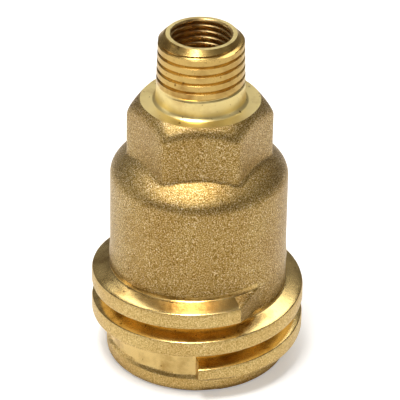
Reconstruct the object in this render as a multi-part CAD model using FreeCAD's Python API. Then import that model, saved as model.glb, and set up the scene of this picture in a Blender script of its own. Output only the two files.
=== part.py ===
import FreeCAD, Part
import math
import os
from FreeCAD import Vector

# Brass propane outlet fitting: a coarse round-nosed male connection below, a hexagon in the
# middle and a tapered male pipe neck above. A spring-loaded check sits in its bore and is
# pushed up by the nipple of the mating connector. Millimetres; +Z runs from the nose to the
# neck, and the origin is the centre of the nose's end face.

# Driving dimensions of the body, from the nose up
OVERALL_HEIGHT = 55.7
NOSE_R = 14.3
NOSE_TOP_Z = 2.6
NOSE_ROUND = 1.0
BODY_R = 13.77
SHOULDER_Z = 33.2
SHOULDER_ROUND = 3.5
SHOULDER_SLOPE = 0.639
HEX_FLATS = 19.85
HEX_CORNER_R = 11.24
HEX_TOP_Z = 42.9
HEX_TURN_DEG = -3.5
FACING_R = 9.24
FACING_Z = 44.5
NECK_R = 6.9
NECK_ROUND = 0.35
NECK_TAPER = 1.0 / 32.0
RIM_R = 5.43
RIM_CHAMFER = 1.15

# Coarse connector thread, 1-5/16 inch with 5 turns to the inch, right-handed
RIDGE_PITCH = 5.08
RIDGE_CREST_R = 16.65
RIDGE_ROOT_R = 13.85
RIDGE_CREST_WIDTH = 2.6
RIDGE_FLANK_DEG = 14.5
RIDGE_START_DEG = -3.7
RIDGE_FULL_DEG = 743.0
RIDGE_RAMP_DEG = 24.0
RIDGE_START_Z = 4.5
LEAD_IN = ((14.3, 2.3), (16.65, 4.0))
RIDGE_TOP_Z = 17.5

# Pipe thread of the neck, 1/4 inch with 18 turns to the inch, right-handed and tapered
PIPE_PITCH = 1.411
PIPE_DEPTH = 0.45
PIPE_GROOVE_WIDTH = 0.58
PIPE_ROOT_WIDTH = 0.08
PIPE_START_DEG = -4.7
PIPE_START_Z = 47.6
PIPE_TURNS = 7

# Bore of the neck, tapped for the spring retainer
TAP_PITCH = 1.0
TAP_CREST_R = 4.55
TAP_ROOT_R = 5.0
TAP_GROOVE_WIDTH = 0.75
TAP_START_DEG = -4.7
TAP_START_Z = 37.5
TAP_RELIEF_TOP_Z = 38.0
TAP_MOUTH_R = 4.8

# Check chamber, valve seat and nipple bore
CHAMBER_R = 4.0
CHAMBER_TOP_Z = 37.0
ORIFICE_R = 2.7
NIPPLE_STOP_Z = 20.5
SEAT_Z = 23.0
NIPPLE_R = 7.4
SEAL_BORE_R = 9.0
SEAL_BORE_TOP_Z = 14.0
SNAP_GROOVE_R = 9.7
SNAP_GROOVE_Z = 9.9
SNAP_GROOVE_HEIGHT = 1.1
SOCKET_R = 10.8
SOCKET_TOP_Z = 7.5
SEAL_LEAD_Z = 9.1
SOCKET_CHAMFER = 0.8

# Check poppet with its rubber seal and the washer that holds it
POPPET_TIP_Z = 17.5
PIN_R = 1.3
BOSS_R = 2.05
BOSS_Z = 23.3
HEAD_R = 3.55
HEAD_Z = 24.75
HEAD_TOP_Z = 26.4
PILOT_R = 1.9
PILOT_TOP_Z = 27.6
STEM_R = 1.25
STEM_TOP_Z = 40.6
POPPET_SEAL_R = 2.75
POPPET_SEAL_SECTION_R = 0.65
POPPET_SEAL_Z = 24.08
SEAL_WASHER_R = 2.4
SEAL_WASHER_THICK = 0.5
RING_SLACK = 0.05

# Spring and its threaded retainer
WIRE_R = 0.25
COIL_R = 2.75
COIL_TURNS = 8
SPRING_END_GAP = 0.02
RETAINER_R = 4.4
RETAINER_TOP_Z = 41.2
RETAINER_THREAD_R = 4.92
RETAINER_THREAD_TURNS = 2.25
RETAINER_THREAD_SLACK = 0.06
GUIDE_R = 1.3
FLOW_HOLE_R = 0.85
FLOW_HOLE_CIRCLE_R = 2.9
FLOW_HOLES = 3
SLOT_WIDTH = 1.0
SLOT_DEPTH = 0.9

# Nipple seal with its washer and snap ring
BACKUP_THICK = 0.8
BACKUP_BORE_R = 7.7
NIPPLE_SEAL_BORE_R = 7.0
SNAP_THICK = 1.0
SNAP_BORE_R = 8.1
SNAP_GAP_DEG = 34.0
SNAP_LUG_R = 1.35
SNAP_LUG_HOLE_R = 0.5

UP = Vector(0, 0, 1)
ORIGIN = Vector(0, 0, 0)


def polar(radius, azimuth_deg, z=0.0):
    """A point at an azimuth counted from -Y towards +X."""
    angle = math.radians(azimuth_deg)
    return Vector(radius * math.sin(angle), -radius * math.cos(angle), z)


def outline(points):
    """A closed wire in the XZ plane through (r, z) points; a third value rounds that corner."""
    count = len(points)
    spots = [Vector(p[0], 0, p[1]) for p in points]
    starts, ends, edges = [], [], []
    for i, point in enumerate(points):
        here = spots[i]
        radius = point[2] if len(point) > 2 else 0.0
        if not radius:
            starts.append(here)
            ends.append(here)
            continue
        back = (spots[i - 1] - here).normalize()
        ahead = (spots[(i + 1) % count] - here).normalize()
        half = back.getAngle(ahead) / 2
        reach = radius / math.tan(half)
        inward = (back + ahead).normalize()
        middle = here + inward * (radius / math.sin(half) - radius)
        starts.append(here + back * reach)
        ends.append(here + ahead * reach)
        edges.append(Part.Arc(starts[i], middle, ends[i]).toShape())
    for i in range(count):
        following = starts[(i + 1) % count]
        if (following - ends[i]).Length > 1e-6:
            edges.append(Part.makeLine(ends[i], following))
    return Part.Wire(Part.__sortEdges__(edges))


def turned(points):
    """A solid of revolution about Z from its half outline."""
    return Part.Face(outline(points)).revolve(ORIGIN, UP, 360)


def ring(inner_r, outer_r, low_z, high_z):
    """A flat-faced ring about Z."""
    disc = Part.makeCylinder(outer_r, high_z - low_z, Vector(0, 0, low_z))
    return disc.cut(Part.makeCylinder(inner_r, high_z - low_z, Vector(0, 0, low_z)))


def helical(section, pitch, turns, start_deg, start_z, taper=0.0):
    """Sweep a closed section, given as (r, dz) points, along a right-handed helix."""
    corners = [Vector(r, 0, start_z + dz) for r, dz in section]
    profile = Part.makePolygon(corners + corners[:1])
    reach = sum(r for r, _ in section) / len(section)
    path = Part.makeLongHelix(pitch, pitch * turns, reach, -math.degrees(math.atan(taper)))
    path.translate(Vector(0, 0, start_z))
    solid = Part.Wire(path.Edges).makePipeShell([profile], True, True)
    solid.rotate(ORIGIN, UP, start_deg - 90.0)
    return solid


def trapezoid(near_r, near_half, far_r, far_half):
    """A helical section whose half width changes evenly from one radius to another."""
    return ((near_r, -near_half), (near_r, near_half), (far_r, far_half), (far_r, -far_half))


def body_outline():
    """The outside of the body without its hexagon and threads."""
    cone_end_r = 9.0
    cone_end_z = SHOULDER_Z + (BODY_R - cone_end_r) * SHOULDER_SLOPE
    chamfer_z = OVERALL_HEIGHT - RIM_CHAMFER
    chamfer_r = NECK_R - (chamfer_z - FACING_Z) * NECK_TAPER
    return (
        (0, 0),
        (NOSE_R, 0, NOSE_ROUND),
        (NOSE_R, NOSE_TOP_Z, 0.2),
        (RIDGE_ROOT_R, NOSE_TOP_Z + NOSE_R - RIDGE_ROOT_R, 0.2),
        (RIDGE_ROOT_R, 16.9),
        (BODY_R + 0.18, 17.05, 0.1),
        (BODY_R, 19.5),
        (BODY_R, SHOULDER_Z, SHOULDER_ROUND),
        (cone_end_r, cone_end_z),
        (cone_end_r, FACING_Z),
        (NECK_R, FACING_Z, NECK_ROUND),
        (chamfer_r, chamfer_z),
        (RIM_R, OVERALL_HEIGHT),
        (0, OVERALL_HEIGHT),
    )


def hexagon():
    """The wrench hexagon with turned corners and a coned top."""
    corner_r = HEX_FLATS / 2 / math.cos(math.radians(30))
    base = [polar(corner_r, HEX_TURN_DEG + 30 + 60 * i, SHOULDER_Z) for i in range(6)]
    face = Part.Face(Part.makePolygon(base + base[:1]))
    prism = face.extrude(Vector(0, 0, FACING_Z - SHOULDER_Z))
    limit = turned((
        (0, SHOULDER_Z),
        (HEX_CORNER_R, SHOULDER_Z),
        (HEX_CORNER_R, HEX_TOP_Z, 0.8),
        (FACING_R, FACING_Z),
        (0, FACING_Z),
    ))
    return prism.common(limit)


def connector_ridge():
    """Two turns of coarse thread with a blunt start, a lead-in chamfer and a ramped end."""
    slope = math.tan(math.radians(RIDGE_FLANK_DEG))
    low_r = RIDGE_ROOT_R - 0.25
    high_r = RIDGE_CREST_R + 0.3
    low_half = RIDGE_CREST_WIDTH / 2 + (RIDGE_CREST_R - low_r) * slope
    high_half = RIDGE_CREST_WIDTH / 2 + (RIDGE_CREST_R - high_r) * slope
    section = trapezoid(low_r, low_half, high_r, high_half)
    turns = (RIDGE_FULL_DEG + RIDGE_RAMP_DEG) / 360.0
    ridge = helical(section, RIDGE_PITCH, turns, RIDGE_START_DEG, RIDGE_START_Z)
    (lead_r, lead_z), (full_r, full_z) = LEAD_IN
    limit = turned((
        (0, lead_z),
        (lead_r, lead_z),
        (full_r, full_z),
        (full_r, RIDGE_TOP_Z),
        (0, RIDGE_TOP_Z),
    ))
    ridge = ridge.common(limit)
    end_deg = RIDGE_START_DEG + RIDGE_FULL_DEG
    crest_end = polar(RIDGE_CREST_R, end_deg)
    foot = polar(RIDGE_ROOT_R, end_deg + RIDGE_RAMP_DEG)
    along = (foot - crest_end).normalize()
    outward = along.cross(UP)
    if outward.dot(crest_end) < 0:
        outward = outward * -1
    low_z = RIDGE_START_Z + 1.5 * RIDGE_PITCH
    near = crest_end - along * 2
    far = foot + along * 4
    corners = [near, far, far + outward * 8, near + outward * 8]
    corners = [c + UP * low_z for c in corners]
    block = Part.Face(Part.makePolygon(corners + corners[:1])).extrude(UP * 8)
    return ridge.cut(block)


def pipe_groove():
    """The helical groove of the tapered pipe thread."""
    neck_r = NECK_R - (PIPE_START_Z - FACING_Z) * NECK_TAPER
    over = 0.3
    widen = (PIPE_GROOVE_WIDTH - PIPE_ROOT_WIDTH) / 2 / PIPE_DEPTH
    section = trapezoid(
        neck_r - PIPE_DEPTH,
        PIPE_ROOT_WIDTH / 2,
        neck_r + over,
        PIPE_GROOVE_WIDTH / 2 + over * widen,
    )
    return helical(section, PIPE_PITCH, PIPE_TURNS, PIPE_START_DEG, PIPE_START_Z, NECK_TAPER)


def tap_groove():
    """The helical groove of the tapped neck bore."""
    slope = math.tan(math.radians(30))
    over = 0.2
    section = trapezoid(
        TAP_CREST_R - over,
        TAP_GROOVE_WIDTH / 2 + over * slope,
        TAP_ROOT_R,
        TAP_GROOVE_WIDTH / 2 - (TAP_ROOT_R - TAP_CREST_R) * slope,
    )
    turns = math.ceil((OVERALL_HEIGHT - TAP_START_Z) / TAP_PITCH)
    return helical(section, TAP_PITCH, turns, TAP_START_DEG, TAP_START_Z)


def passage():
    """The space bored through the body, from the nose socket to the neck's mouth."""
    mouth = TAP_MOUTH_R - TAP_CREST_R
    return turned((
        (0, -1),
        (SOCKET_R + SOCKET_CHAMFER, -1),
        (SOCKET_R + SOCKET_CHAMFER, 0),
        (SOCKET_R, SOCKET_CHAMFER),
        (SOCKET_R, SOCKET_TOP_Z),
        (SEAL_BORE_R, SEAL_LEAD_Z),
        (SEAL_BORE_R, SNAP_GROOVE_Z),
        (SNAP_GROOVE_R, SNAP_GROOVE_Z),
        (SNAP_GROOVE_R, SNAP_GROOVE_Z + SNAP_GROOVE_HEIGHT),
        (SEAL_BORE_R, SNAP_GROOVE_Z + SNAP_GROOVE_HEIGHT),
        (SEAL_BORE_R, SEAL_BORE_TOP_Z),
        (NIPPLE_R, SEAL_BORE_TOP_Z),
        (NIPPLE_R, NIPPLE_STOP_Z),
        (ORIFICE_R, NIPPLE_STOP_Z),
        (ORIFICE_R, SEAT_Z),
        (CHAMBER_R, SEAT_Z + CHAMBER_R - ORIFICE_R),
        (CHAMBER_R, CHAMBER_TOP_Z),
        (TAP_ROOT_R + 0.05, CHAMBER_TOP_Z),
        (TAP_ROOT_R + 0.05, TAP_RELIEF_TOP_Z),
        (TAP_CREST_R, TAP_RELIEF_TOP_Z + 0.3),
        (TAP_CREST_R, OVERALL_HEIGHT - mouth),
        (TAP_MOUTH_R, OVERALL_HEIGHT),
        (TAP_MOUTH_R, OVERALL_HEIGHT + 1),
        (0, OVERALL_HEIGHT + 1),
    ))


def fitting_body():
    """The brass body with its hexagon, both outside threads and the bored passage."""
    shell = turned(body_outline()).fuse([hexagon(), connector_ridge()])
    shell = shell.cut(pipe_groove())
    shell = shell.cut(passage())
    return shell.cut(tap_groove())


def check_poppet():
    """The brass poppet: a push pin, a boss and head for the seal, a spring pilot and a stem."""
    return turned((
        (0, POPPET_TIP_Z),
        (PIN_R, POPPET_TIP_Z, 0.4),
        (PIN_R, BOSS_Z),
        (BOSS_R, BOSS_Z),
        (BOSS_R, HEAD_Z),
        (HEAD_R, HEAD_Z, 0.2),
        (HEAD_R, HEAD_TOP_Z, 0.3),
        (PILOT_R, HEAD_TOP_Z),
        (PILOT_R, PILOT_TOP_Z, 0.3),
        (STEM_R, PILOT_TOP_Z),
        (STEM_R, STEM_TOP_Z, 0.25),
        (0, STEM_TOP_Z),
    ))


def poppet_seal():
    """The rubber ring under the poppet's head."""
    centre = Vector(0, 0, POPPET_SEAL_Z)
    return Part.makeTorus(POPPET_SEAL_R, POPPET_SEAL_SECTION_R, centre, UP)


def seal_washer():
    """The small brass washer that holds the rubber ring on the boss."""
    low_z = BOSS_Z - SEAL_WASHER_THICK
    return ring(PIN_R + RING_SLACK, SEAL_WASHER_R, low_z, BOSS_Z)


def check_spring():
    """The compression spring between the poppet's head and the retainer."""
    height = CHAMBER_TOP_Z - HEAD_TOP_Z - 2 * (WIRE_R + SPRING_END_GAP)
    path = Part.makeLongHelix(height / COIL_TURNS, height, COIL_R)
    start = Vector(COIL_R, 0, 0)
    section = Part.Wire(Part.makeCircle(WIRE_R, start, Vector(0, 1, height / COIL_TURNS / 18)))
    spring = Part.Wire(path.Edges).makePipeShell([section], True, True)
    spring.translate(Vector(0, 0, HEAD_TOP_Z + WIRE_R + SPRING_END_GAP))
    return spring


def spring_retainer():
    """The threaded plug that holds the spring and guides the stem, with gas holes and a slot."""
    slope = math.tan(math.radians(30))
    plug = turned((
        (0, CHAMBER_TOP_Z),
        (RETAINER_R, CHAMBER_TOP_Z),
        (RETAINER_R, RETAINER_TOP_Z - 0.3),
        (RETAINER_R - 0.3, RETAINER_TOP_Z),
        (0, RETAINER_TOP_Z),
    ))
    low_r = RETAINER_R - 0.2
    groove_half = TAP_GROOVE_WIDTH / 2 - RETAINER_THREAD_SLACK
    section = trapezoid(
        low_r,
        groove_half + (TAP_CREST_R - low_r) * slope,
        RETAINER_THREAD_R,
        groove_half - (RETAINER_THREAD_R - TAP_CREST_R) * slope,
    )
    thread_z = TAP_START_Z + TAP_PITCH
    plug = plug.fuse(helical(section, TAP_PITCH, RETAINER_THREAD_TURNS, TAP_START_DEG, thread_z))
    height = RETAINER_TOP_Z - CHAMBER_TOP_Z
    foot = Vector(0, 0, CHAMBER_TOP_Z)
    cuts = [Part.makeCylinder(GUIDE_R, height, foot)]
    for i in range(FLOW_HOLES):
        centre = polar(FLOW_HOLE_CIRCLE_R, 90 + 360 / FLOW_HOLES * i, CHAMBER_TOP_Z)
        cuts.append(Part.makeCylinder(FLOW_HOLE_R, height, centre))
    corner = Vector(-2 * RETAINER_R, -SLOT_WIDTH / 2, RETAINER_TOP_Z - SLOT_DEPTH)
    cuts.append(Part.makeBox(4 * RETAINER_R, SLOT_WIDTH, SLOT_DEPTH, corner))
    return plug.cut(cuts)


def retaining_ring():
    """The snap ring in the nose groove, open at one side with two drilled lugs."""
    low_z = SNAP_GROOVE_Z + (SNAP_GROOVE_HEIGHT - SNAP_THICK) / 2
    band = ring(SNAP_BORE_R, SNAP_GROOVE_R - 0.1, low_z, low_z + SNAP_THICK)
    reach = 2 * SNAP_GROOVE_R
    edge = [
        Vector(0, 0, low_z),
        polar(reach, 180 - SNAP_GAP_DEG / 2, low_z),
        polar(reach, 180 + SNAP_GAP_DEG / 2, low_z),
    ]
    opening = Part.Face(Part.makePolygon(edge + edge[:1])).extrude(UP * SNAP_THICK)
    band = band.cut(opening)
    holes = []
    for side in (-1, 1):
        lug_deg = 180 + side * (SNAP_GAP_DEG / 2 + 7.5)
        centre = polar(SNAP_BORE_R - 0.1, lug_deg, low_z)
        band = band.fuse(Part.makeCylinder(SNAP_LUG_R, SNAP_THICK, centre))
        holes.append(Part.makeCylinder(SNAP_LUG_HOLE_R, SNAP_THICK, centre))
    return band.cut(holes).removeSplitter()


def backup_washer():
    """The brass washer between the snap ring and the nipple seal."""
    low_z = SNAP_GROOVE_Z + (SNAP_GROOVE_HEIGHT + SNAP_THICK) / 2
    return ring(BACKUP_BORE_R, SEAL_BORE_R - RING_SLACK, low_z, low_z + BACKUP_THICK)


def nipple_seal():
    """The rubber ring that seals round the mating nipple, with a rounded lip."""
    low_z = SNAP_GROOVE_Z + (SNAP_GROOVE_HEIGHT + SNAP_THICK) / 2 + BACKUP_THICK
    return turned((
        (SEAL_BORE_R - RING_SLACK, low_z),
        (SEAL_BORE_R - RING_SLACK, SEAL_BORE_TOP_Z),
        (NIPPLE_SEAL_BORE_R, SEAL_BORE_TOP_Z, 0.6),
        (NIPPLE_SEAL_BORE_R, low_z, 0.6),
    ))


PIECES = (
    fitting_body,
    check_poppet,
    poppet_seal,
    seal_washer,
    check_spring,
    spring_retainer,
    nipple_seal,
    backup_washer,
    retaining_ring,
)

os.makedirs("parts", exist_ok=True)
for make in PIECES:
    shape = make()
    node = make.__name__
    shape.exportStep("parts/" + node + ".step")
    box = shape.BoundBox
    print(node, shape.isValid(), len(shape.Solids), round(shape.Volume, 2),
          [round(v, 2) for v in (box.XMin, box.XMax, box.YMin, box.YMax, box.ZMin, box.ZMax)])
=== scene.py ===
import math

import bmesh
import bpy
import numpy as np
from mathutils import Euler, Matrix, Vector


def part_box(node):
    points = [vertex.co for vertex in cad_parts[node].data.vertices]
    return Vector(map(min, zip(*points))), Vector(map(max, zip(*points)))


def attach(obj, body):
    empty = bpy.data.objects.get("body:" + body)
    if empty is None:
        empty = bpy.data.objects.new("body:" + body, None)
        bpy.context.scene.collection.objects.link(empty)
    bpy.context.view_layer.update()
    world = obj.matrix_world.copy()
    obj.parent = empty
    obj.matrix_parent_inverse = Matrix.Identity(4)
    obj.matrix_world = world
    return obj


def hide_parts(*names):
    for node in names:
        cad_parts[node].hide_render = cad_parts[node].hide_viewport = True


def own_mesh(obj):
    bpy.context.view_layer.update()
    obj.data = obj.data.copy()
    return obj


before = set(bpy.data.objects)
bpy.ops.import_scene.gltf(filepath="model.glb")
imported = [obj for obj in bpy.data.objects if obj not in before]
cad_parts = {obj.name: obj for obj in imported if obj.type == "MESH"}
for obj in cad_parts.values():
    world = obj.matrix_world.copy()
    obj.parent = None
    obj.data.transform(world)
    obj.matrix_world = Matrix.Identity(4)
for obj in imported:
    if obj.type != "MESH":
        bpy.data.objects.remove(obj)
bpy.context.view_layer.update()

MM = 0.001

# ---------------------------------------------------------------- sizes, millimetres
TOP_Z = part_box("fitting_body")[1][2] / MM
COLUMNS = 224

# Nose and round body
NOSE_R, NOSE_ROUND = 14.3, 1.0
BODY_R = 13.77
SHOULDER_LOW_Z, SHOULDER_Z, SHOULDER_CONE_Z = 26.0, 31.3, 33.2
SHOULDER_SLOPE, SHOULDER_ROUND = 0.639, 2.6

# Wrench hexagon, its domed top and the flat faced on it
HEX_LOW_Z = 33
HEX_FLATS, HEX_CORNER_R, HEX_TURN_DEG = 19.85, 11.4, -3.5
HEX_CORNER_ROUND, HEX_FOOT_ROUND = 0.75, 0.5
DOME_SLOPE, DOME_ROUND = 1.235, 1.5
FACING_R, FACING_Z = 9.24, 44.5

# Coarse connector thread: its form, its start, its lead-in and the ramp it ends in
RIDGE_PITCH, RIDGE_CREST_R, RIDGE_ROOT_R = 5.08, 16.64, 13.85
RIDGE_HALF, RIDGE_FLANK = 1.3, math.tan(math.radians(14.5))
RIDGE_EDGE_ROUND, RIDGE_FOOT_ROUND = 0.8, 0.35
RIDGE_START_DEG, RIDGE_START_Z = -3.7, 4.5
RIDGE_TURNS = 3
RIDGE_FULL_DEG, RIDGE_RAMP_DEG, RAMP_SINK = 743.0, 24.0, 0.15
RAMP_REACH_DEG, RAMP_LEAST_COSINE = 60, 0.2
LEAD_Z, LEAD_RISE = 2.3, 1.7

# Neck, its tapered pipe thread and the chamfered rim
NECK_R, NECK_TAPER, NECK_FILLET = 6.9, 1 / 32, 0.45
RIM_R, RIM_LAND_R = 5.43, 5.1
PIPE_PITCH, PIPE_DEPTH, PIPE_HALF, PIPE_ROOT_HALF = 1.411, 0.45, 0.29, 0.04
PIPE_START_DEG, PIPE_START_Z, PIPE_FIRST_Z = -4.7, 47.6, 47.75
PIPE_FADE_BELOW, PIPE_FADE_ABOVE = 0.5, 0.35

# Tapped bore in the neck
TAP_PITCH, TAP_CREST_R, TAP_ROOT_R, TAP_ROOT_HALF = 1.0, 4.55, 5.0, 0.115
TAP_START_DEG, TAP_START_Z, TAP_LOW_Z, TAP_MOUTH_R = -4.7, 37.5, 38.3, 4.8
TAP_SLOPE, TAP_FADE = math.tan(math.radians(30)), 0.3

# The outside is meshed in three bands, and their edges are level
THREAD_BAND_Z, BODY_BAND_Z, NECK_BAND_Z = 0.0, 18.0, 46.5

# Unevenness of the cast skin: lowest z, highest z, depth, seed
BODY_WAVES = (17.5, 34, 0.018, 3)
HEX_WAVES = (33, 44, 0.02, 5)

# Edges between the machined thread and the cast skin
CUT_TOP_Z, CUT_LOW_Z, CUT_ROOT_LOW_Z = 17.15, 2.4, 3.2
CUT_ROOT_REACH, CAST_REACH, LEVEL_FACE = 0.4, 0.3, 0.8
RUNOUT_Z, CAST_LAP_DEG = 17.45, 7.0
RAMP_LOW_Z, RAMP_TOP_Z, RAMP_CLEAR = 13.2, 17.5, 0.2
FACE_MARGIN = 0.05


def smooth_step(x, low, high):
    t = np.clip((x - low) / (high - low), 0, 1)
    return t * t * (3 - 2 * t)


def soft_max(a, b, radius):
    """The larger of two heights with the inside corner rounded."""
    h = np.clip(0.5 + 0.5 * (a - b) / radius, 0, 1)
    return b + (a - b) * h + radius * h * (1 - h)


def soft_min(a, b, radius):
    return -soft_max(-a, -b, radius)


def since(phi, start_deg):
    """Degrees turned since a thread's start, from 0 to 360."""
    return np.mod(phi - start_deg, 360.0)


def waviness(phi, z, seed, waves=10):
    """A slow unevenness of the cast skin, from -1 to 1."""
    a = np.radians(phi)
    value = np.zeros_like(np.broadcast_arrays(phi, z)[0], dtype=float)
    rng = np.random.default_rng(seed)
    for _ in range(waves):
        turns = rng.integers(2, 34)
        rate = rng.uniform(-2.2, 2.2)
        value = value + np.sin(turns * a + rate * z + rng.uniform(0, 6.28))
    return value / waves


def cast_skin(phi, z, waves):
    """How far the cast skin stands out at an azimuth and height, in millimetres."""
    low, high, depth, seed = waves
    return np.where((z > low) & (z < high), depth * waviness(phi, z, seed), 0)


# ---------------------------------------------------------------- the body's outside
def ramp_radius(past):
    """Radius of the straight cut that ends the coarse thread, by the degrees past its start."""
    ramp = math.radians(RIDGE_RAMP_DEG)
    end = np.array([RIDGE_CREST_R, 0.0])
    foot = np.array([math.cos(ramp), math.sin(ramp)]) * (RIDGE_ROOT_R - RAMP_SINK)
    along = (foot - end) / np.linalg.norm(foot - end)
    normal = np.array([along[1], -along[0]])
    angle = np.radians(np.clip(past, 0, RAMP_REACH_DEG))
    facing = np.cos(angle) * normal[0] + np.sin(angle) * normal[1]
    return (end @ normal) / np.maximum(RAMP_LEAST_COSINE, facing)


def ridge_radius(phi, z):
    """Radius of the coarse thread at an azimuth and height, or 0 where it isn't."""
    best = np.zeros_like(z)
    turned = since(phi, RIDGE_START_DEG)
    lead = NOSE_R + (z - LEAD_Z) * (RIDGE_CREST_R - NOSE_R) / LEAD_RISE
    for turn in range(RIDGE_TURNS):
        total = turned + 360.0 * turn
        centre = RIDGE_START_Z + RIDGE_PITCH * total / 360
        past = total - RIDGE_FULL_DEG
        crest = np.full_like(z, RIDGE_CREST_R)
        crest = np.where(past > 0, np.minimum(crest, ramp_radius(past)), crest)
        crest = np.where(past > RIDGE_RAMP_DEG, 0, crest)
        flank = RIDGE_CREST_R - (np.abs(z - centre) - RIDGE_HALF) / RIDGE_FLANK
        here = np.minimum(soft_min(flank, crest, RIDGE_EDGE_ROUND), lead)
        best = np.maximum(best, here)
    return best


def core_radius(z):
    """The turned outline of the body below the hexagon, from (z, r) points."""
    outline = [
        (0.0, NOSE_R - NOSE_ROUND), (0.08, NOSE_R - 0.6), (0.3, NOSE_R - 0.29), (0.6, NOSE_R - 0.085),
        (1.0, NOSE_R), (2.55, NOSE_R), (2.7, NOSE_R - 0.1), (2.95, RIDGE_ROOT_R + 0.08),
        (3.2, RIDGE_ROOT_R), (16.6, RIDGE_ROOT_R), (17.4, 13.93), (19.5, BODY_R), (SHOULDER_Z, BODY_R),
    ]
    knots = np.array(outline)
    body = np.interp(z, knots[:, 0], knots[:, 1])
    cone = BODY_R - (z - SHOULDER_CONE_Z) / SHOULDER_SLOPE
    rounded = soft_min(np.full_like(z, BODY_R), cone, SHOULDER_ROUND)
    upper = np.where(z > SHOULDER_Z, rounded, np.minimum(body, rounded))
    return np.where(z > SHOULDER_LOW_Z, upper, body)


def hex_radius(phi, z):
    """The wrench hexagon with turned corners and a domed top."""
    corner = np.mod(phi - HEX_TURN_DEG + 30, 60) - 30
    flat = HEX_FLATS / 2 / np.cos(np.radians(corner))
    side = soft_min(flat, np.full_like(z, HEX_CORNER_R), HEX_CORNER_ROUND)
    dome = FACING_R + (FACING_Z - z) * DOME_SLOPE
    side = soft_min(side, dome, DOME_ROUND)
    return np.where(z < HEX_LOW_Z, 0, side)


def neck_radius(phi, z):
    """The neck with its tapered pipe thread, and the chamfer at the rim."""
    neck = NECK_R - (z - FACING_Z) * NECK_TAPER
    neck = np.minimum(neck, RIM_R + (TOP_Z - z))
    turns = since(phi, PIPE_START_DEG) / 360
    centre = PIPE_START_Z + PIPE_PITCH * turns
    nearest = centre + PIPE_PITCH * np.round((z - centre) / PIPE_PITCH)
    across = np.abs(z - nearest)
    share = np.clip(1 - (across - PIPE_ROOT_HALF) / (PIPE_HALF - PIPE_ROOT_HALF), 0, 1)
    fade = smooth_step(nearest, PIPE_FIRST_Z - PIPE_FADE_BELOW, PIPE_FIRST_Z + PIPE_FADE_ABOVE)
    return neck - PIPE_DEPTH * share * fade


def outside_radius(phi, z):
    """The whole outside: thread, round body and hexagon below the facing, and the neck above."""
    low = soft_max(core_radius(z), ridge_radius(phi, z), RIDGE_FOOT_ROUND)
    low = low + cast_skin(phi, z, BODY_WAVES)
    upper = soft_max(low, hex_radius(phi, z), HEX_FOOT_ROUND)
    body = np.where(z > HEX_LOW_Z, upper, low)
    body = body + cast_skin(phi, z, HEX_WAVES)
    fillet = NECK_FILLET * np.clip(1 - (z - FACING_Z) / NECK_FILLET, 0, 1) ** 2
    neck = neck_radius(phi, z) + fillet
    return np.where(z < FACING_Z, np.maximum(body, neck), neck)


# ---------------------------------------------------------------- mesh helpers
PHI = np.arange(COLUMNS) * 360.0 / COLUMNS
CREASE = math.radians(32)


class Skin:
    """Vertices and faces of one closed surface, put together zone by zone."""

    def __init__(self):
        self.verts, self.faces, self.kinds = [], [], []
        self.count = 0

    def add(self, phi, radius, z, kind, shift=0):
        """A grid of rows by columns; the last column meets the first one `shift` rows on."""
        rows = radius.shape[0]
        a = np.radians(np.broadcast_to(phi, radius.shape))
        spots = np.stack([radius * np.sin(a), -radius * np.cos(a), z], -1).reshape(-1, 3) * MM
        self.verts.append(spots)
        for j in range(rows - 1):
            for i in range(COLUMNS):
                here = j * COLUMNS + i
                above = here + COLUMNS
                if i < COLUMNS - 1:
                    quad = (here, here + 1, above + 1, above)
                else:
                    low = min(j + shift, rows - 1)
                    high = min(j + 1 + shift, rows - 1)
                    quad = (here, low * COLUMNS, high * COLUMNS, above)
                self.faces.append(tuple(q + self.count for q in quad))
                self.kinds.append(kind)
        self.count += len(spots)

    def spiral(self, z0, z1, pitch, offsets, start_deg, start_z, radius_of, kind):
        """Rows that climb with a thread, held between two level edges."""
        offsets = sorted(offsets)
        first = math.floor((z0 - pitch - start_z) / pitch) - 1
        last = math.ceil((z1 - start_z) / pitch) + 1
        lines = [start_z + pitch * n + o for n in range(first, last) for o in offsets]
        base = np.array(lines)[:, None]
        turned = ((PHI - start_deg) % 360.0)[None, :]
        order = np.argsort(turned[0])
        phi = PHI[order][None, :]
        z = np.clip(base + pitch * turned[:, order] / 360, z0, z1)
        radius = radius_of(np.broadcast_to(phi, z.shape), z)
        self.add(phi, radius, z, kind, len(offsets))

    def level(self, heights, radius_of, kind):
        """Level rows at the given heights."""
        z = np.broadcast_to(np.array(heights)[:, None], (len(heights), COLUMNS)).astype(float)
        phi = np.broadcast_to(PHI[None, :], z.shape)
        self.add(phi, radius_of(phi, z), z, kind)

    def turned(self, points, kind):
        """A surface of revolution through (r, z) points."""
        rows = np.array(points, dtype=float)
        radius = np.repeat(rows[:, :1], COLUMNS, 1)
        z = np.repeat(rows[:, 1:], COLUMNS, 1)
        self.add(PHI[None, :], radius, z, kind)


def make_piece(name, verts, faces, materials, kinds=None, merge=2e-6):
    """A smooth-shaded object in which only edges bent past CREASE stay sharp."""
    mesh = bpy.data.meshes.new(name)
    mesh.from_pydata([tuple(v) for v in verts], [], faces)
    for material in materials:
        mesh.materials.append(material)
    if kinds is not None:
        mesh.polygons.foreach_set("material_index", kinds)
    bm = bmesh.new()
    bm.from_mesh(mesh)
    bmesh.ops.remove_doubles(bm, verts=bm.verts, dist=merge)
    bmesh.ops.dissolve_degenerate(bm, edges=bm.edges, dist=1e-7)
    bmesh.ops.recalc_face_normals(bm, faces=bm.faces)
    for edge in bm.edges:
        if len(edge.link_faces) == 2 and edge.calc_face_angle(0) > CREASE:
            edge.smooth = False
    for face in bm.faces:
        face.smooth = True
    bm.to_mesh(mesh)
    bm.free()
    piece = bpy.data.objects.new(name, mesh)
    bpy.context.scene.collection.objects.link(piece)
    return piece


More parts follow.
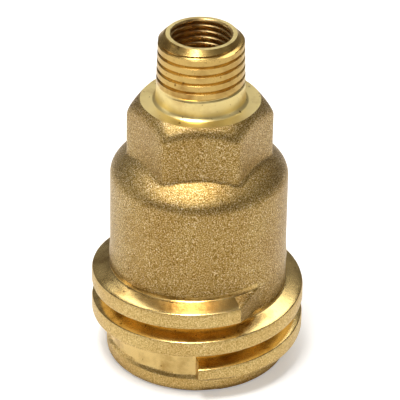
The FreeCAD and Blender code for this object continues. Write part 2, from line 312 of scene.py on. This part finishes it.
# ---------------------------------------------------------------- materials
# Noise scales are in features per metre, near enough, and a shade multiplies the colour under it.
WHITE = (1.0, 1.0, 1.0)
GRIT_FINER = 2.1
CLOUD_SCALE, CLOUD_SHADE = 120, (0.88, 0.82, 0.74)
PIT_STOPS = (0.34, 0.47, 0.58, 0.70)
LATHE_STRETCH = (0.04, 0.04, 1.0)
STAIN_SCALE, CLEAN_GAIN = 260, 1.08
NICK_SCALE, NICK_SHADE = 1500, (0.42, 0.33, 0.24)


def node(tree, kind, **values):
    """A new node; a value goes to the input of that name, or else to the node's own setting."""
    made = tree.nodes.new(kind)
    for key, value in values.items():
        if key in made.inputs:
            made.inputs[key].default_value = value
        else:
            setattr(made, key, value)
    return made


def ramp(tree, source, stops):
    """A colour ramp through (position, colour) stops."""
    made = tree.nodes.new("ShaderNodeValToRGB")
    made.color_ramp.elements[0].position = stops[0][0]
    made.color_ramp.elements[0].color = (*stops[0][1], 1)
    made.color_ramp.elements[1].position = stops[-1][0]
    made.color_ramp.elements[1].color = (*stops[-1][1], 1)
    for position, colour in stops[1:-1]:
        made.color_ramp.elements.new(position).color = (*colour, 1)
    tree.links.new(source, made.inputs["Fac"])
    return made.outputs["Color"]


def span(tree, source, low, high):
    """A 0 to 1 value spread from low to high."""
    made = node(tree, "ShaderNodeMapRange")
    made.inputs["To Min"].default_value = low
    made.inputs["To Max"].default_value = high
    tree.links.new(source, made.inputs["Value"])
    return made.outputs["Result"]


def surface(name, metallic):
    """A material with its shader and the object's own coordinates, in metres."""
    material = bpy.data.materials.new(name)
    material.use_nodes = True
    tree = material.node_tree
    shader = tree.nodes["Principled BSDF"]
    shader.inputs["Metallic"].default_value = metallic
    place = node(tree, "ShaderNodeTexCoord").outputs["Object"]
    return material, tree, shader, place


def noise(tree, place, scale, detail=3.0, rough=0.55, stretch=None):
    if stretch:
        mapping = node(tree, "ShaderNodeMapping")
        mapping.inputs["Scale"].default_value = stretch
        tree.links.new(place, mapping.inputs["Vector"])
        place = mapping.outputs["Vector"]
    made = node(tree, "ShaderNodeTexNoise", Scale=scale, Detail=detail, Roughness=rough)
    tree.links.new(place, made.inputs["Vector"])
    return made.outputs["Fac"]


def bump(tree, height, distance, strength, under=None):
    made = node(tree, "ShaderNodeBump", Strength=strength, Distance=distance)
    tree.links.new(height, made.inputs["Height"])
    if under:
        tree.links.new(under, made.inputs["Normal"])
    return made.outputs["Normal"]


def multiplied(tree, first, second):
    mix = node(tree, "ShaderNodeMix", data_type="RGBA", blend_type="MULTIPLY")
    mix.inputs["Factor"].default_value = 1.0
    tree.links.new(first, mix.inputs["A"])
    tree.links.new(second, mix.inputs["B"])
    return mix.outputs["Result"]


def blasted_brass(name, shade_and_glint_tones, pit_scale, pit_depth, rough):
    """Cast brass under grit, coloured by the same pits as its bump: brown-gold painted shade in the
    pits and bright painted glints on the peaks between them.
    """
    material, tree, shader, place = surface(name, 1.0)
    grit = noise(tree, place, pit_scale * GRIT_FINER, 2.0, 0.6)
    pits = noise(tree, place, pit_scale, 2.0, 0.6)
    cloud = noise(tree, place, CLOUD_SCALE, 3.0, 0.5)
    # The pits colour the grain as well as bumping it: painted shade in the pits, painted glints on the
    # peaks.
    tone = ramp(tree, pits, list(zip(PIT_STOPS, shade_and_glint_tones)))
    shade = ramp(tree, cloud, [(0.3, CLOUD_SHADE), (0.7, WHITE)])
    tree.links.new(multiplied(tree, tone, shade), shader.inputs["Base Color"])
    tree.links.new(span(tree, grit, rough, rough + 0.25), shader.inputs["Roughness"])
    first = bump(tree, pits, pit_depth, 0.8)
    tree.links.new(bump(tree, grit, pit_depth * 0.3, 0.7, first), shader.inputs["Normal"])
    return material


def turned_brass(name, dark, light, rough, line_scale, line_depth, pit_depth=0.00002):
    """Machined brass with fine lathe lines, faint stains and small nicks."""
    material, tree, shader, place = surface(name, 1.0)
    lines = noise(tree, place, line_scale, 2.0, 0.6, LATHE_STRETCH)
    stain = noise(tree, place, STAIN_SCALE, 5.0, 0.6)
    nicks = noise(tree, place, NICK_SCALE, 2.0, 0.5)
    clean = tuple(min(1, c * CLEAN_GAIN) for c in light)
    tone = ramp(tree, stain, [(0.28, dark), (0.5, light), (0.8, clean)])
    spots = ramp(tree, nicks, [(0.26, NICK_SHADE), (0.33, WHITE)])
    tree.links.new(multiplied(tree, tone, spots), shader.inputs["Base Color"])
    tree.links.new(span(tree, stain, rough - 0.06, rough + 0.1), shader.inputs["Roughness"])
    first = bump(tree, lines, line_depth, 0.6)
    tree.links.new(bump(tree, nicks, pit_depth, 0.5, first), shader.inputs["Normal"])
    return material


def seal_rubber():
    """Moulded black rubber with a faint bloom."""
    material, tree, shader, place = surface("seal_rubber", 0.0)
    bloom = noise(tree, place, 700, 4.0)
    tone = ramp(tree, bloom, [(0.3, (0.012, 0.012, 0.013)), (0.75, (0.04, 0.04, 0.042))])
    tree.links.new(tone, shader.inputs["Base Color"])
    tree.links.new(span(tree, bloom, 0.45, 0.7), shader.inputs["Roughness"])
    tree.links.new(bump(tree, bloom, 0.00003, 0.5), shader.inputs["Normal"])
    return material


def spring_steel():
    """Drawn stainless wire and stamped ring, with faint draw lines."""
    material, tree, shader, place = surface("spring_steel", 1.0)
    draw = noise(tree, place, 1800, 3.0)
    tone = ramp(tree, draw, [(0.3, (0.42, 0.42, 0.41)), (0.7, (0.66, 0.66, 0.65))])
    tree.links.new(tone, shader.inputs["Base Color"])
    tree.links.new(span(tree, draw, 0.2, 0.38), shader.inputs["Roughness"])
    tree.links.new(bump(tree, draw, 0.00001, 0.4), shader.inputs["Normal"])
    return material


# Tones from the bottom of a pit to a peak: painted shade in the pits up to painted glints on the
# peaks.
BLASTED_SHADE_AND_GLINT_TONES = [(0.17, 0.095, 0.02), (0.42, 0.265, 0.072), (0.68, 0.48, 0.18), (1.0, 0.92, 0.68)]
CREST_SHADE_AND_GLINT_TONES = [(0.46, 0.29, 0.085), (0.66, 0.46, 0.16), (0.80, 0.60, 0.25), (0.95, 0.80, 0.44)]
BLASTED = blasted_brass("blasted_brass", BLASTED_SHADE_AND_GLINT_TONES, 5600, 0.00010, 0.22)
CREST = blasted_brass("crest_brass", CREST_SHADE_AND_GLINT_TONES, 5200, 0.00003, 0.27)
FLANK = turned_brass("flank_brass", (0.50, 0.32, 0.10), (0.80, 0.58, 0.23), 0.22, 2600, 0.00002)
PIPE = turned_brass("pipe_brass", (0.38, 0.21, 0.055), (0.66, 0.44, 0.14), 0.24, 3600, 0.00002)
NECK = turned_brass("neck_brass", (0.72, 0.52, 0.20), (0.94, 0.76, 0.34), 0.34, 3600, 0.000025)
BORE = turned_brass("bore_brass", (0.42, 0.25, 0.09), (0.70, 0.48, 0.20), 0.24, 3000, 0.00003)
TURNED = turned_brass("turned_brass", (0.60, 0.44, 0.19), (0.86, 0.68, 0.34), 0.24, 3200, 0.00002)
RUBBER = seal_rubber()
STEEL = spring_steel()
KIND_BLASTED, KIND_CREST, KIND_FLANK, KIND_PIPE, KIND_NECK, KIND_BORE = range(6)


# ---------------------------------------------------------------- the brass body
def mirrored(offsets):
    """Row offsets on both sides of a thread's centre line."""
    return sorted({sign * offset for offset in offsets for sign in (-1, 1)})


def tapped_radius(phi, z):
    """The bore's inside thread, which fades in at its foot and opens in a chamfer at the rim."""
    centre = TAP_START_Z + since(phi, TAP_START_DEG) / 360 * TAP_PITCH
    across = np.abs(z - (centre + TAP_PITCH * np.round((z - centre) / TAP_PITCH)))
    radius = np.clip(TAP_ROOT_R - (across - TAP_ROOT_HALF) / TAP_SLOPE, TAP_CREST_R, TAP_ROOT_R)
    fade = smooth_step(z, TAP_LOW_Z, TAP_LOW_Z + TAP_FADE)
    radius = TAP_CREST_R + (radius - TAP_CREST_R) * fade
    return np.maximum(radius, TAP_MOUTH_R - (TOP_Z - z))


def fitting_skin():
    """The body's closed surface: up the outside, over the rim, down the bore and out at the nose."""
    skin = Skin()
    edge = RIDGE_HALF
    foot = RIDGE_HALF + (RIDGE_CREST_R - RIDGE_ROOT_R) * RIDGE_FLANK
    ridge_rows = mirrored([0.0, 0.45, 0.9, edge - 0.06, edge, edge + 0.03, edge + 0.2, edge + 0.42,
                           foot - 0.06, foot, foot + 0.05, foot + 0.28])
    skin.spiral(THREAD_BAND_Z, BODY_BAND_Z, RIDGE_PITCH, ridge_rows, RIDGE_START_DEG, RIDGE_START_Z,
                outside_radius, KIND_CREST)
    bands = [
        (BODY_BAND_Z, 30, 11), (30.3, 37, 27), (37.6, 41, 6), (41.25, FACING_Z - 0.002, 17),
        (FACING_Z, NECK_BAND_Z, 10),
    ]
    heights = [z for low, high, rows in bands for z in np.linspace(low, high, rows)]
    skin.level(heights, outside_radius, KIND_BLASTED)
    pipe_rows = mirrored([PIPE_ROOT_HALF, 0.2, PIPE_HALF, PIPE_HALF + 0.03, 0.5, 0.66])
    skin.spiral(NECK_BAND_Z, TOP_Z, PIPE_PITCH, pipe_rows, PIPE_START_DEG, PIPE_START_Z,
                outside_radius, KIND_PIPE)
    skin.turned([(RIM_R, TOP_Z), (RIM_LAND_R, TOP_Z), (TAP_MOUTH_R, TOP_Z)], KIND_NECK)
    tap_rows = mirrored([TAP_ROOT_HALF, 0.25, 0.36, 0.43])
    skin.spiral(TAP_LOW_Z, TOP_Z, TAP_PITCH, tap_rows, TAP_START_DEG, TAP_START_Z,
                tapped_radius, KIND_BORE)
    skin.turned([
        (TAP_CREST_R, TAP_LOW_Z), (5.05, 38.0), (5.05, 37.0), (4.0, 37.0), (4.0, 30.5), (4.0, 24.3),
        (2.7, 23.0), (2.7, 20.8), (3.0, 20.5), (7.2, 20.5), (7.4, 20.3), (7.4, 14.2), (7.6, 14.0),
        (9.0, 14.0), (9.0, 11.0), (9.7, 11.0), (9.7, 9.9), (9.0, 9.9), (9.0, 9.1), (10.8, 7.5),
        (10.8, 4.0), (10.8, 0.8), (11.6, 0.0), (12.4, 0.0), (NOSE_R - NOSE_ROUND, 0.0),
    ], KIND_BORE)
    return skin


def paint_kinds(skin):
    """The body's vertices, and which finish each face has from its place on the body."""
    verts = np.concatenate(skin.verts) / MM
    corners = verts[np.array(skin.faces)]
    centre = corners.mean(1)
    across = np.cross(corners[:, 2] - corners[:, 0], corners[:, 3] - corners[:, 1])
    steep = np.abs(across[:, 2]) / np.maximum(np.linalg.norm(across, axis=1), 1e-9)
    radius = np.hypot(centre[:, 0], centre[:, 1])
    z = centre[:, 2]
    phi = np.degrees(np.arctan2(centre[:, 0], -centre[:, 1]))
    kinds = np.array(skin.kinds)
    outside = kinds <= KIND_NECK

    # The cut thread: faces that lie nearly level, and the root between the ridges
    level = (z > CUT_LOW_Z) & (steep > LEVEL_FACE)
    root = (z > CUT_ROOT_LOW_Z) & (radius < RIDGE_ROOT_R + CUT_ROOT_REACH)
    kinds[outside & (z < CUT_TOP_Z) & (level | root)] = KIND_FLANK

    # The cast skin starts on a line that climbs with the thread
    cast_end = RIDGE_START_DEG + RIDGE_FULL_DEG + RIDGE_RAMP_DEG - CAST_LAP_DEG
    run = np.mod(phi - cast_end, 360) - 360 + RIDGE_RAMP_DEG
    skin_edge = RUNOUT_Z + RIDGE_PITCH * run / 360
    cast = (z > skin_edge) & (radius < RIDGE_ROOT_R + CAST_REACH)
    cast = (cast | (z > BODY_BAND_Z)) & (z < FACING_Z) & (radius > FACING_R)
    kinds[outside & cast] = KIND_BLASTED

    # The faced ring and the plain neck
    faced = (z >= FACING_Z - FACE_MARGIN) & (radius < FACING_R + FACE_MARGIN)
    kinds[outside & faced & (z < PIPE_FIRST_Z)] = KIND_NECK

    # The ramp that the thread ends in
    past = np.mod(phi - RIDGE_START_DEG - RIDGE_FULL_DEG, 360)
    on_ramp = (past < RIDGE_RAMP_DEG) & (radius > RIDGE_ROOT_R + RAMP_CLEAR)
    kinds[outside & on_ramp & (z > RAMP_LOW_Z) & (z < RAMP_TOP_Z)] = KIND_BLASTED
    return verts * MM, kinds.tolist()


skin = fitting_skin()
verts, kinds = paint_kinds(skin)
body = make_piece("brass_body", verts, skin.faces, [BLASTED, CREST, FLANK, PIPE, NECK, BORE], kinds)
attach(body, "body")
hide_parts("fitting_body")


# ---------------------------------------------------------------- the spring
SPRING_WIRE_R, SPRING_COIL_R, SPRING_TURNS = 0.25, 2.75, 9.0
SPRING_CLOSED, SPRING_END_SHARE = 0.6, 0.08


def spring_piece():
    """Round wire wound with its end coils nearly closed."""
    (_, _, low), (_, _, high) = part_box("check_spring")
    wire, coil, sides = SPRING_WIRE_R * MM, SPRING_COIL_R * MM, 14
    steps = int(SPRING_TURNS * 36)
    closed = SPRING_CLOSED / SPRING_TURNS
    verts, faces = [], []
    for k in range(steps + 1):
        t = k / steps * SPRING_TURNS
        share = t / SPRING_TURNS
        rise = float(smooth_step(np.array(share), closed, 1 - closed))
        climb = SPRING_END_SHARE * share + (1 - SPRING_END_SHARE) * rise
        z = min(low + wire + (high - low - 2 * wire) * climb, high - wire)
        a = 2 * math.pi * t
        for s in range(sides):
            b = 2 * math.pi * s / sides
            r = coil + wire * math.cos(b)
            verts.append((r * math.cos(a), r * math.sin(a), z + wire * math.sin(b)))
    for k in range(steps):
        for s in range(sides):
            n = (s + 1) % sides
            faces.append((k * sides + s, k * sides + n, (k + 1) * sides + n, (k + 1) * sides + s))
    faces.append(tuple(reversed(range(sides))))
    faces.append(tuple(steps * sides + s for s in range(sides)))
    return make_piece("coil_spring", verts, faces, [STEEL])


spring = spring_piece()
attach(spring, "body")
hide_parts("check_spring")
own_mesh(spring)


# ---------------------------------------------------------------- carried-over pieces
FINISHES = {
    "check_poppet": TURNED,
    "seal_washer": TURNED,
    "spring_retainer": TURNED,
    "backup_washer": TURNED,
    "poppet_seal": RUBBER,
    "nipple_seal": RUBBER,
    "retaining_ring": STEEL,
}
for name, finish in FINISHES.items():
    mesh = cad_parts[name].data
    mesh.materials.clear()
    mesh.materials.append(finish)


# ---------------------------------------------------------------- floor, light and camera
FLOOR_GAP, FLOOR_GLOW = 0.00002, 0.35
STUDIO_GREY = (0.17, 0.16, 0.145, 1)
CAMERA_DISTANCE, CAMERA_AZIMUTH, CAMERA_ELEVATION, CAMERA_ROLL = 0.46, -4.7, 30.8, 1.0
CAMERA_LENS, CAMERA_SIDE, CAMERA_AIM_Z = 266.5, 0.0002, 0.0265


def direction(azimuth, elevation):
    """A unit vector outward from the object, by degrees. Azimuth 0 is the camera's side."""
    a, e = math.radians(azimuth), math.radians(elevation)
    return Vector((math.sin(a) * math.cos(e), -math.cos(a) * math.cos(e), math.sin(e)))


def shown_white(name, colour):
    """A pale diffuse that reads white to the camera and keeps the object's shadow."""
    material = bpy.data.materials.new(name)
    material.use_nodes = True
    tree = material.node_tree
    shader = tree.nodes["Principled BSDF"]
    shader.inputs["Base Color"].default_value = (*colour, 1)
    shader.inputs["Roughness"].default_value = 0.9
    shader.inputs["Specular IOR Level"].default_value = 0.0
    shader.inputs["Emission Color"].default_value = (1, 1, 1, 1)
    light_path = node(tree, "ShaderNodeLightPath")
    glow = node(tree, "ShaderNodeMath", operation="MULTIPLY")
    glow.inputs[1].default_value = FLOOR_GLOW
    tree.links.new(light_path.outputs["Is Camera Ray"], glow.inputs[0])
    tree.links.new(glow.outputs[0], shader.inputs["Emission Strength"])
    return material


bpy.ops.mesh.primitive_plane_add(size=4, location=(0, 0, -FLOOR_GAP))
floor = bpy.context.object
floor.name = "floor"
floor.data.materials.append(shown_white("floor_white", (0.88, 0.87, 0.85)))

scene = bpy.context.scene
world = bpy.data.worlds.new("studio")
world.use_nodes = True
scene.world = world
tree = world.node_tree
background = tree.nodes["Background"]
path = node(tree, "ShaderNodeLightPath")
studio = node(tree, "ShaderNodeMix", data_type="RGBA")
studio.inputs["A"].default_value = STUDIO_GREY
studio.inputs["B"].default_value = (1, 1, 1, 1)
tree.links.new(path.outputs["Is Camera Ray"], studio.inputs["Factor"])
tree.links.new(studio.outputs["Result"], background.inputs["Color"])


def lamp(name, azimuth, elevation, distance, size, watts):
    """A soft box aimed at the middle of the object, at an azimuth and elevation round it."""
    data = bpy.data.lights.new(name, "AREA")
    data.shape = "RECTANGLE"
    data.size, data.size_y = size
    data.energy = watts
    made = bpy.data.objects.new(name, data)
    aim = Vector((0, 0, TOP_Z * MM / 2))
    made.location = aim + distance * direction(azimuth, elevation)
    made.rotation_euler = (aim - made.location).to_track_quat("-Z", "Y").to_euler()
    scene.collection.objects.link(made)


lamp("key", -42, 74, 0.5, (0.16, 0.16), 2.0)
lamp("front_strip", -14, 24, 0.55, (0.05, 0.3), 0.09)
lamp("right_strip", 72, 22, 0.5, (0.06, 0.34), 0.13)
lamp("left_strip", -100, 18, 0.5, (0.08, 0.34), 0.2)
lamp("back", 172, 58, 0.5, (0.5, 0.22), 1.15)

camera_data = bpy.data.cameras.new("camera")
camera_data.sensor_width = 36
camera_data.lens = CAMERA_LENS
camera_data.clip_start = 0.01
camera = bpy.data.objects.new("camera", camera_data)
scene.collection.objects.link(camera)
scene.camera = camera
side = math.radians(CAMERA_AZIMUTH)
aim = Vector((CAMERA_SIDE * math.cos(side), CAMERA_SIDE * math.sin(side), CAMERA_AIM_Z))
toward = direction(CAMERA_AZIMUTH, CAMERA_ELEVATION)
camera.location = aim + toward * CAMERA_DISTANCE
roll = Euler((0, 0, math.radians(CAMERA_ROLL))).to_matrix()
turn = (-toward).to_track_quat("-Z", "Y").to_matrix() @ roll
camera.rotation_euler = turn.to_euler()

scene.view_settings.view_transform = "Standard"
